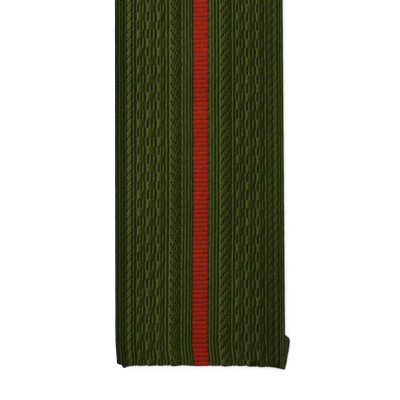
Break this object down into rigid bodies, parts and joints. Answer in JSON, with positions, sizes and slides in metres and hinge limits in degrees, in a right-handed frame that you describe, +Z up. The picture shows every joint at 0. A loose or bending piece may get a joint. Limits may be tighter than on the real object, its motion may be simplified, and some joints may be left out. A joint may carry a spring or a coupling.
{
  "type": "shoulder board",
  "caption": "Flat shoulder board of ribbed green galloon folded round its sides and both ends, with a cross-ribbed red stripe along its middle.",
  "frame": {"origin": "middle of the turned-under flap at the shoulder end, on the underside", "axes": "+X across to the right seen from above with the neck end away, +Y along from the shoulder end to the neck end, +Z up out of the ribbed face"},
  "size_m": [0.0515, 0.1411, 0.0041],
  "materials": {
    "green_galloon": "ribbed weave with a dull sheen",
    "red_stripe": "cross-ribbed weave with a dull sheen"
  },
  "bodies": {
    "root": {"galloon": "green_galloon", "centre_stripe": "red_stripe"}
  },
  "joints": []
}
